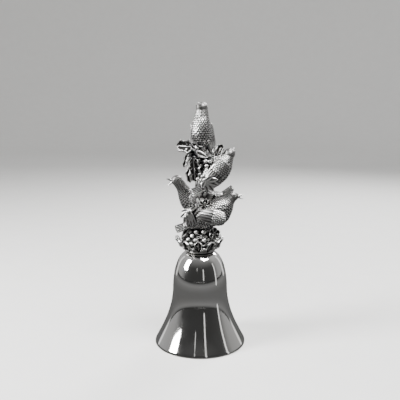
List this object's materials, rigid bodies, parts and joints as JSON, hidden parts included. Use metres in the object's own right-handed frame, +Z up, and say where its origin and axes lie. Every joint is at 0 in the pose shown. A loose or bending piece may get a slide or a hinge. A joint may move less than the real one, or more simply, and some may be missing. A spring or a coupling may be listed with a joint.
{
  "type": "christmas bell ornament",
  "caption": "Small mirror-plated hand bell with a cast pewter handle of singing birds among holly leaves, berries and a flower, and a hanging clapper inside.",
  "frame": {"origin": "centre of the mouth's plane, which the bell stands on", "axes": "+Z up along the bell's axis, +X to the right and -Y towards the viewer when the beaks of the lower birds point left and right"},
  "size_m": [0.038, 0.038, 0.1005],
  "materials": {
    "silver_plate": "polished",
    "pewter": "satin",
    "steel": "satin",
    "clapper_plate": "polished"
  },
  "bodies": {
    "bell": {"bell_shell": "silver_plate", "crown_washer": "steel", "eye_screw": "steel", "collar_cup": "pewter", "collar_leaves": "pewter", "collar_berries": "pewter", "poinsettia": "pewter", "handle_core": "pewter", "right_bird": "pewter", "left_bird": "pewter", "middle_bird": "pewter", "top_bird": "pewter", "left_spray": "pewter", "back_rosette": "pewter", "front_spray": "pewter", "front_berries": "pewter", "hanging_leaves": "pewter", "upper_leaf": "pewter", "upper_band": "pewter", "upper_berries": "pewter", "curled_leaves": "pewter", "rear_sprig": "pewter", "rear_berries": "pewter"},
    "link": {"clapper_link": "steel"},
    "clapper": {"clapper_stem": "steel", "clapper_ball": "clapper_plate"}
  },
  "joints": [
    {"name": "link_swing", "type": "hinge", "parent": "bell", "child": "link", "pos_m": [0, 0, 0.033], "axis": [1, 0, 0], "range_deg": [-16.3, 16.3]},
    {"name": "clapper_swing", "type": "hinge", "parent": "link", "child": "clapper", "pos_m": [0, 0, 0.02994], "axis": [0, 1, 0], "range_deg": [-16.3, 16.3]}
  ]
}
